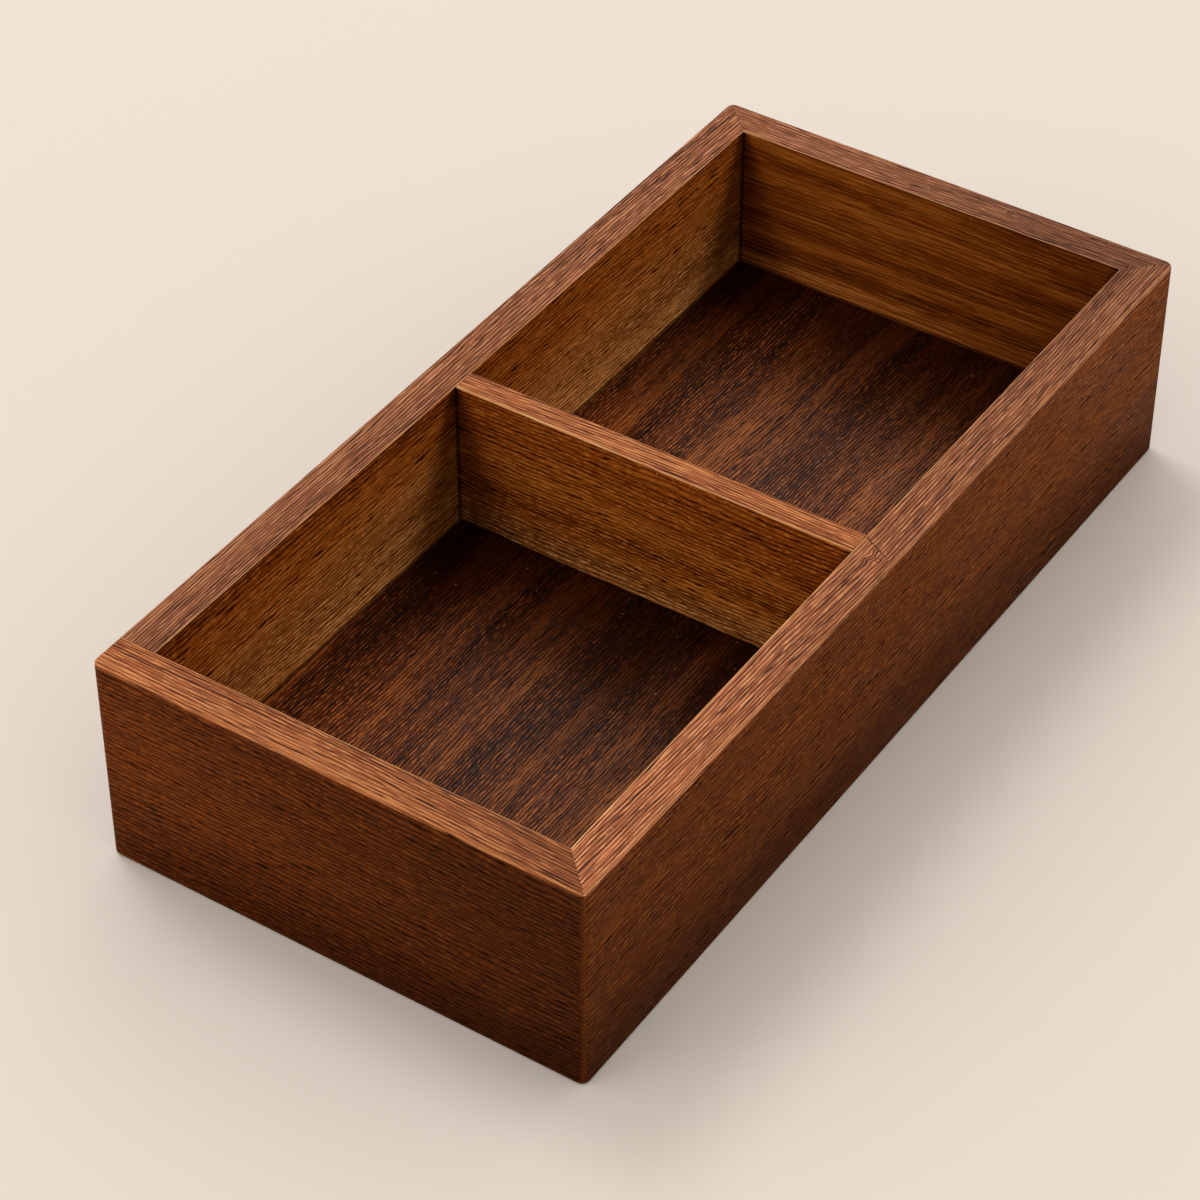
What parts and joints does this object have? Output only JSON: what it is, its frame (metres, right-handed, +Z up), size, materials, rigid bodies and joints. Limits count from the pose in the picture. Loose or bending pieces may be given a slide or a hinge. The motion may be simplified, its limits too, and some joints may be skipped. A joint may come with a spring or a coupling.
{
  "type": "divided wooden tray",
  "caption": "Low rectangular open tray of dark stained wood with a fixed cross divider, splined mitred corners and a tongued floor panel, for sorting small things on a desk or table.",
  "frame": {"origin": "on the table, under the middle of the tray", "axes": "+X to the right across the width, +Y to the back along the length, +Z up out of the tray"},
  "size_m": [0.155, 0.315, 0.07],
  "materials": {
    "wall_wood": "dark red-brown stain, satin oil",
    "divider_wood": "golden brown stain, satin oil",
    "floor_wood": "dark chocolate stain, satin oil",
    "spline_wood": "bare, cut edges"
  },
  "bodies": {
    "root": {"front_wall": "wall_wood", "right_wall": "wall_wood", "back_wall": "wall_wood", "left_wall": "wall_wood", "divider": "divider_wood", "floor_panel": "floor_wood", "spline_front_left": "spline_wood", "spline_front_right": "spline_wood", "spline_back_right": "spline_wood", "spline_back_left": "spline_wood"}
  },
  "joints": []
}
